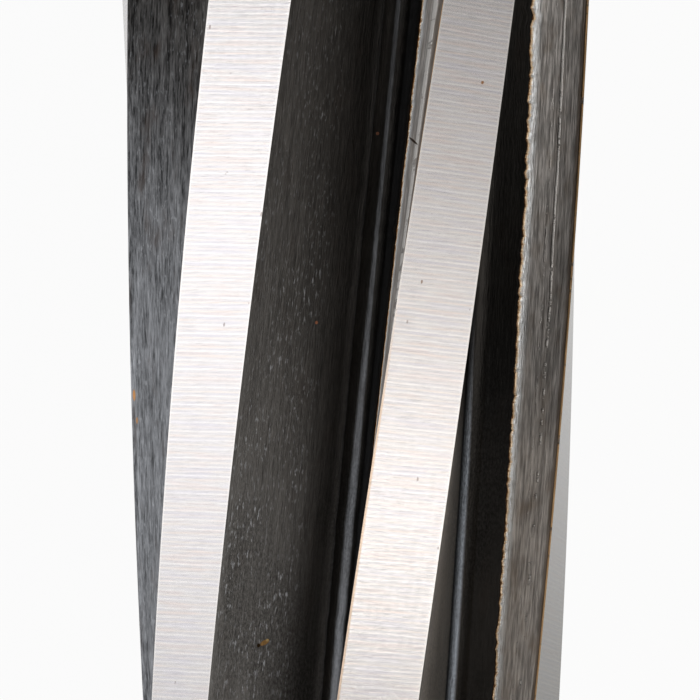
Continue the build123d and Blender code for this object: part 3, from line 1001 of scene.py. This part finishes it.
def ground_shank(finishes):
    """Cylindrically ground steel: fine lines around the shank."""
    f = Finish("ground_shank", Metallic=1.0, Roughness=0.27)
    around, along, _ = f.unrolled()
    lines = f.streaks(around, along, "shank_lines")
    broad = f.streaks(around, along, "shank_bands")
    base = f.times(finishes.shank_steel, f.ramp(lines, (0.3, 0.84), (0.7, 1.0)))
    base = f.times(base, f.ramp(broad, (0.35, (0.93, 0.92, 0.90)), (0.65, (1.0, 1.0, 1.0))), 0.6)
    stain = f.steps(f.clouds(160.0, 4.0), 0.62, 0.72)
    base = f.mix(f.both(stain, 0.35), base, TINTS["shank_stain"])
    return f.made(lines, 0.010 * MM, Base_Color=base)


def blackened(finishes):
    """Black oxide on turned steel, with fine turning lines."""
    f = Finish("blackened_steel", Metallic=1.0)
    around, along, _ = f.unrolled()
    lines = f.streaks(around, along, "black_lines")
    spots = f.both(f.clouds(900.0, 3.0), 0.4)
    sheen = f.steps(f.maths("ADD", f.both(lines, 0.6), spots), 0.4, 0.68)
    base = f.mix(sheen, finishes.black_oxide, shaded(finishes.oxide_sheen, 0.75))
    return f.made(lines, 0.012 * MM, Base_Color=base, Roughness=f.less(0.5, f.both(sheen, 0.14)))


def polished_bar(finishes):
    """Turned and polished steel: faint lines around the bar and a few handling marks."""
    f = Finish("polished_bar", Metallic=1.0)
    around, along, _ = f.unrolled()
    lines = f.streaks(around, along, "bar_lines")
    marks = f.steps(f.streaks(around, along, "handling_marks"), 0.56, 0.7)
    base = f.times(finishes.bar_steel, f.ramp(lines, (0.3, 0.9), (0.7, 1.0)))
    base = f.mix(f.both(marks, 0.25), base, TINTS["handling_mark"])
    return f.made(lines, 0.006 * MM, Base_Color=base, Roughness=f.scaled(marks, 0.14, 0.20))


def phenolic(finishes):
    """Polished black phenolic: gloss with fine wiping scratches and a little dust."""
    f = Finish("black_phenolic", IOR=1.6)
    haze = f.clouds(260.0, 5.0, 0.65)
    dust = f.steps(f.clouds(2600.0, 2.0), 0.68, 0.78)
    base = f.mix(f.both(dust, 0.5), finishes.knob_black, TINTS["dust"])
    rough = f.scaled(f.steps(haze, 0.4, 0.7), 0.14, 0.12)
    return f.made(haze, 0.02 * MM, Base_Color=base, Roughness=rough)


def turned_brass(finishes):
    """Turned brass with fine tool lines and a slight tarnish."""
    f = Finish("turned_brass", Metallic=1.0)
    around, along, _ = f.unrolled()
    lines = f.streaks(around, along, "brass_lines")
    tarnish = f.steps(f.clouds(500.0, 4.0), 0.45, 0.75)
    base = f.mix(f.both(tarnish, 0.5), finishes.brass, TINTS["tarnish"])
    base = f.times(base, f.ramp(lines, (0.3, 0.85), (0.7, 1.0)))
    return f.made(lines, 0.008 * MM, Base_Color=base, Roughness=f.scaled(tarnish, 0.15, 0.24))


def floor_white(stage):
    """Pale matt floor. Seen directly it is near white of its own, and keeps some of the shadow."""
    material = bpy.data.materials.new("pale_floor")
    material.use_nodes = True
    f = Nodes(material.node_tree)
    seen_directly = f.larger(f.larger(f.ray("Camera"), f.ray("Glossy")), f.ray("Transmission"))
    share = f.both(seen_directly, stage.background)
    matt, glow = f.add("BsdfDiffuse", FLOOR_GREY), f.add("Emission", None, 1.0)
    f.end("Material", f.add("MixShader", share, matt, glow))
    return material


def light_world(tree, stage):
    """Dim grey surroundings that the camera sees as white."""
    f = Nodes(tree)
    room = f.add("Background", None, WORLD_LEVEL * stage.light)
    white = f.add("Background", (1, 1, 1), 1.0)
    f.end("World", f.add("MixShader", f.ray("Camera"), room, white))


def ring_places(cutter):
    """Where the taper's rings stand: even steps in each of the five stretches of RING_COUNTS."""
    gauge = gauge_place(cutter)
    bevel_end = cutter.tip_chamfer / (1 - 0.5 / cutter.taper_run)
    full_end = cutter.cone_length - cutter.run_out
    ends = (0, bevel_end, gauge - FINE_REACH, gauge + FINE_REACH, full_end, cutter.cone_length)
    stretches = [np.linspace(start, end, count, endpoint=False)
                 for start, end, count in zip(ends, ends[1:], RING_COUNTS)]
    return np.concatenate([*stretches, [cutter.cone_length]])


def centre_rings(cutter, tip_ring):
    """Rings of the lathe centre, from its drilled point to its mouth, and their places."""
    drill, mouth = cutter.centre_drill / 2, cutter.centre_mouth / 2
    radii = np.array([0, drill, drill, mouth])
    places = np.array([cutter.centre_depth + drill / tan(DRILL_HALF_POINT), cutter.centre_depth,
                       (mouth - drill) / tan(CENTRE_HALF_ANGLE), 0])
    return radii[:, None] * np.exp(1j * np.angle(tip_ring))[None, :], places


def turned_rings(cutter, handle, last_ring):
    """Rings from the flutes' end to the screw hole's bottom, and their line of (radius, place).

    Their points start on the turns of the last toothed ring, and spread to even turns on the neck.
    """
    line = rounded(head_outline(cutter, handle), HEAD_ROUNDING)
    turns = np.maximum.accumulate(np.unwrap(-np.angle(last_ring)))
    even_turns = turns[0] + 2 * pi * np.arange(len(last_ring)) / len(last_ring)
    evened = (line.imag - cutter.cone_length) / (EVENED_OVER * handle.neck_length)
    evened = np.clip(evened, 0, 1)[:, None]
    turns = turns * (1 - evened) + even_turns * evened
    return np.maximum(line.real, 0)[:, None] * np.exp(-1j * turns), line


class REAMER_OT_cutter(Operator):
    """Build the cutter, neck, shank and head as one piece of steel"""

    bl_idname = "reamer.cutter"
    bl_label = "Cutter and Shank"

    def execute(self, context):
        scene = context.scene
        cutter, handle, finishes = scene.reamer_cutter, scene.reamer_handle, scene.reamer_finishes
        place = ring_places(cutter)
        teeth = toothed_rings(cutter, handle, place)
        front, front_place = centre_rings(cutter, teeth[0])
        back, line = turned_rings(cutter, handle, teeth[-1])
        rings = np.vstack([front, teeth, back])
        places = np.concatenate([front_place, place, line.imag])
        start, end = len(front), len(front) + len(teeth)

        gauge_ring = teeth[np.argmin(np.abs(place - gauge_place(cutter)))]
        steps = np.abs(np.diff(np.append(gauge_ring, gauge_ring[0])))
        around_way = np.tile(np.append(0, np.cumsum(steps)), (len(places), 1))
        around_way[start:end] = straight_on_faces(cutter, place, teeth, around_way[0])
        back_run = np.hypot(np.diff(line.real, prepend=line.real[0]),
                            np.diff(line.imag, prepend=cutter.cone_length))
        front_way = -np.cumsum(np.ones(len(front)))[::-1] * MM
        along_way = np.concatenate([front_way, place, cutter.cone_length + np.cumsum(back_run)])
        unrolled = around_way, along_way, np.tile(zone_way(), (len(TOOTH_TURNS), 1))

        steels = np.full((len(places) - 1, teeth.shape[1]), BLACK_STEEL)
        is_land = np.tile(TOOTH_ZONES, len(TOOTH_TURNS)) == LAND
        steels[start:end - 1] = np.where(is_land, LAND_STEEL, FLUTE_STEEL)
        is_bright = np.abs(back[1:]) + np.abs(back[:-1]) > handle.shank_diameter * BRIGHT_FROM
        steels[end:] = np.where(is_bright, BRIGHT_STEEL, BLACK_STEEL)
        coat = np.zeros((*rings.shape, 3))
        coat[start:end] = rubbed_coat(cutter, place)
        laid = along_tool(cutter, handle)
        piece = ring_mesh("reamer_body", rings, places, laid, steels, unrolled, coat)

        bore = handle.bar_diameter / 2 + handle.bar_clearance
        hole_rings = np.array([0, 1, 1, 0])[:, None] * circle(HOLE_POINTS) * bore
        hole_places = np.array([-1, -1, 1, 1]) * handle.head_diameter
        hole = ring_mesh("bar_hole", hole_rings, hole_places, along_bar(1))
        for number in range(BLACK_STEEL + 1):
            piece.data.materials.append(bpy.data.materials.new(f"zone_{number}"))
            hole.data.materials.append(piece.data.materials[number])
        hole.data.polygons.foreach_set("material_index", [BRIGHT_STEEL] * len(hole.data.polygons))
        cut_with(piece, hole)
        finished(piece, "reamer", [
            ground_land(finishes, cutter.land_width),
            fluted_steel(finishes),
            ground_shank(finishes),
            blackened(finishes),
        ])
        return {"FINISHED"}


def head_outline(cutter, handle):
    """Outline of the turned length, from the flutes' end to the bottom of the lock screw's hole."""
    neck, shank = handle.neck_diameter / 2, handle.shank_diameter / 2
    head = handle.head_diameter / 2
    neck_end = cutter.cone_length + handle.neck_length
    shank_end = neck_end + handle.shank_length
    head_start = shank_end + head - shank
    head_end = head_start + handle.head_length
    hole = handle.screw_diameter / 2 + handle.thread_clearance
    return [
        (neck, cutter.cone_length),
        (neck, neck_end - (shank - neck)),
        (shank, neck_end),
        (shank, shank_end),
        (head, head_start),
        (head, head_end - handle.head_chamfer),
        (head - handle.head_chamfer, head_end),
        (hole + handle.countersink, head_end),
        (hole, head_end - handle.countersink),
        (hole, head_end - handle.head_length / 2),
        (0, head_end - handle.head_length / 2),
    ]


class REAMER_OT_cross_bar(Operator):
    """Build the cross bar with its spigots and the flat for the lock screw"""

    bl_idname = "reamer.cross_bar"
    bl_label = "Cross Bar"

    def execute(self, context):
        handle, finishes = context.scene.reamer_handle, context.scene.reamer_finishes
        rod, spigot = handle.bar_diameter / 2, handle.spigot_diameter / 2
        half_flat = handle.bar_flat_length / 2
        end = handle.bar_reach + handle.spigot_length
        side = rounded([(rod, half_flat), (rod, handle.bar_reach), (spigot, handle.bar_reach),
                        (spigot, end), (0, end)], BAR_ROUNDING)
        radius = np.concatenate([side.real[::-1], [rod, rod], side.real])
        place = np.concatenate([-side.imag[::-1], [-half_flat, half_flat], side.imag])
        rings = radius[:, None] * circle(ROUND_POINTS)[None, :]
        flat = rod - handle.bar_flat_depth
        middle = len(side)
        # The lock flat faces the end of the tool, which is the ring's right-hand side.
        for row in (middle, middle + 1):
            rings[row] = np.minimum(rings[row].real, flat) + 1j * rings[row].imag
        piece = ring_mesh("cross_bar_rod", rings, place, along_bar(1))
        finished(piece, "cross_bar", [polished_bar(finishes)])
        return {"FINISHED"}


def each_side(node):
    """Both sides of the handle, with the name of the node there and the way of the bar."""
    return (("left_" + node, -1), ("right_" + node, 1))


class REAMER_OT_knobs(Operator):
    """Build the two black knobs"""

    bl_idname = "reamer.knobs"
    bl_label = "Knobs"

    def execute(self, context):
        handle, finishes = context.scene.reamer_handle, context.scene.reamer_finishes
        material = phenolic(finishes)
        for node, side in each_side("knob"):
            low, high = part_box(node)
            knob_length, rim = high[0] - low[0], (high[1] - low[1]) / 2
            bush_low, bush_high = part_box(node + "_bush")
            hollow, bush_length = (bush_high[1] - bush_low[1]) / 2, bush_high[0] - bush_low[0]
            start, bevel = handle.bar_reach, handle.knob_chamfer
            outline = [(0, start + bush_length), (hollow, start + bush_length), (hollow, start),
                       (rim, start), (rim, start + knob_length - bevel),
                       (rim - bevel, start + knob_length), (0, start + knob_length)]
            laid = along_bar(side)
            piece = turned_piece(node + "_grip", outline, laid, KNOB_ROUNDING, KNOB_POINTS)
            finished(piece, node, [material], sharp=40)
        return {"FINISHED"}


class REAMER_OT_bushes(Operator):
    """Build the two brass bushes in the knobs"""

    bl_idname = "reamer.bushes"
    bl_label = "Bushes"

    def execute(self, context):
        handle, finishes = context.scene.reamer_handle, context.scene.reamer_finishes
        material = turned_brass(finishes)
        for node, side in each_side("knob_bush"):
            low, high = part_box(node)
            bush_length, rim = high[0] - low[0], (high[1] - low[1]) / 2
            bore = handle.spigot_diameter / 2 + handle.thread_clearance
            start = handle.bar_reach
            floor = start + handle.spigot_length + handle.bore_spare
            outline = [(0, floor), (bore, floor), (bore, start), (rim, start),
                       (rim, start + bush_length), (0, start + bush_length)]
            piece = turned_piece(node + "_metal", outline, along_bar(side), BUSH_ROUNDING)
            finished(piece, node, [material])
        return {"FINISHED"}


class REAMER_OT_lock_screw(Operator):
    """Build the socket screw that holds the bar"""

    bl_idname = "reamer.lock_screw"
    bl_label = "Lock Screw"

    def execute(self, context):
        scene = context.scene
        cutter, handle, finishes = scene.reamer_cutter, scene.reamer_handle, scene.reamer_finishes
        point_place = bar_place(cutter, handle) + handle.bar_diameter / 2 - handle.bar_flat_depth
        end = point_place + handle.screw_length
        rim, socket = handle.screw_diameter / 2, handle.socket_width / 2
        outside = rounded([(0, point_place), (rim - handle.screw_point, point_place),
                           (rim, point_place + handle.screw_point), (rim, end),
                           (socket * SOCKET_MOUTH, end)], SCREW_ROUNDING)
        unit = circle(ROUND_POINTS)
        # A hexagon's radius is its half width over the cosine of the turn from the nearest flat.
        hexagon = socket / np.cos((np.angle(unit) + pi / 6) % (pi / 3) - pi / 6) * unit
        rings = np.vstack([outside.real[:, None] * unit, hexagon, hexagon, 0 * unit])
        floor = end - handle.socket_depth
        places = np.concatenate([outside.imag, [end, floor, floor]])
        piece = ring_mesh("lock_screw_body", rings, places, along_tool(cutter, handle))
        finished(piece, "lock_screw", [blackened(finishes)])
        return {"FINISHED"}


def lamp(name, start, end, level, tint, target):
    """A long soft panel beside the tool, facing it, between two turns from straight up."""
    data = bpy.data.lights.new(name, "AREA")
    data.shape = "RECTANGLE"
    data.size = 2 * LAMP_DISTANCE * tan((end - start) / 2)
    data.size_y = LAMP_LENGTH
    data.color = tint
    data.energy = level * pi * data.size * data.size_y
    panel = bpy.data.objects.new(name, data)
    bpy.context.scene.collection.objects.link(panel)
    middle = (start + end) / 2
    away = Vector((sin(middle), 0, cos(middle)))
    sideways = Vector((cos(middle), 0, -sin(middle)))
    axes = Matrix((sideways, Vector((0, 1, 0)), sideways.cross(Vector((0, 1, 0))))).transposed()
    panel.matrix_world = Matrix.Translation(target + away * LAMP_DISTANCE) @ axes.to_4x4()
    panel.visible_camera = False


class REAMER_OT_stage(Operator):
    """Build the floor, the lamps, the world and the camera"""

    bl_idname = "reamer.stage"
    bl_label = "Stage"

    def execute(self, context):
        scene = context.scene
        stage, cutter = scene.reamer_stage, scene.reamer_cutter
        target = BAR_CENTRE + AXIS * (gauge_place(cutter) - bar_place(cutter, scene.reamer_handle))

        floor_mesh = bpy.data.meshes.new("floor")
        signs = (-1, -1), (1, -1), (1, 1), (-1, 1)
        corners = [(FLOOR_HALF * x, FLOOR_HALF * y, 0) for x, y in signs]
        floor_mesh.from_pydata(corners, [], [(0, 1, 2, 3)])
        floor = bpy.data.objects.new("floor", floor_mesh)
        scene.collection.objects.link(floor)
        floor_mesh.materials.append(floor_white(stage))

        for name, start, end, level, tint in LAMPS:
            lamp(name, radians(start), radians(end), level * stage.light, tint, target)
        world = bpy.data.worlds.new("studio")
        scene.world = world
        world.use_nodes = True
        light_world(world.node_tree, stage)

        camera_data = bpy.data.cameras.new("camera")
        camera_data.sensor_width = SENSOR_WIDTH
        camera_data.lens = stage.lens / MM
        camera_data.clip_start = NEAREST_SEEN
        camera = bpy.data.objects.new("camera", camera_data)
        scene.collection.objects.link(camera)
        back = (-DOWN * cos(stage.elevation) - AXIS * sin(stage.elevation)).normalized()
        up = (AXIS - back * AXIS.dot(back)).normalized()
        right = up.cross(back)
        up, right = (up * cos(stage.roll) - right * sin(stage.roll),
                     right * cos(stage.roll) + up * sin(stage.roll))
        turned = Matrix((right, up, back)).transposed().to_4x4()
        stand = target + back * stage.distance - right * stage.aside
        camera.matrix_world = Matrix.Translation(stand) @ turned
        scene.camera = camera
        scene.view_settings.view_transform = "Standard"
        return {"FINISHED"}


class REAMER_PT_sidebar(Panel):
    """Lists the pieces of the reamer and the stage"""

    bl_idname = "REAMER_PT_sidebar"
    bl_label = "Peg Hole Reamer"
    bl_space_type = "VIEW_3D"
    bl_region_type = "UI"
    bl_category = "Reamer"

    def draw(self, context):
        for operator in PIECES:
            self.layout.operator(operator.bl_idname)
        for group in GROUPS.values():
            settings = getattr(context.scene, group)
            box = self.layout.box()
            for name in settings.bl_rna.properties.keys():
                if name not in ("rna_type", "name"):
                    box.prop(settings, name)


GROUPS = {
    CutterSizes: "reamer_cutter",
    HandleSizes: "reamer_handle",
    Finishes: "reamer_finishes",
    StageSettings: "reamer_stage",
}
PIECES = (
    REAMER_OT_cutter,
    REAMER_OT_cross_bar,
    REAMER_OT_knobs,
    REAMER_OT_bushes,
    REAMER_OT_lock_screw,
    REAMER_OT_stage,
)


def register():
    for group, name in GROUPS.items():
        bpy.utils.register_class(group)
        setattr(bpy.types.Scene, name, PointerProperty(type=group))
    for operator in (*PIECES, REAMER_PT_sidebar):
        bpy.utils.register_class(operator)


def unregister():
    for operator in reversed((*PIECES, REAMER_PT_sidebar)):
        bpy.utils.unregister_class(operator)
    for group, name in GROUPS.items():
        delattr(bpy.types.Scene, name)
        bpy.utils.unregister_class(group)


def main():
    register()
    bpy.ops.reamer.cutter()
    bpy.ops.reamer.cross_bar()
    bpy.ops.reamer.knobs()
    bpy.ops.reamer.bushes()
    bpy.ops.reamer.lock_screw()
    bpy.ops.reamer.stage()


if __name__ == "__main__":
    main()
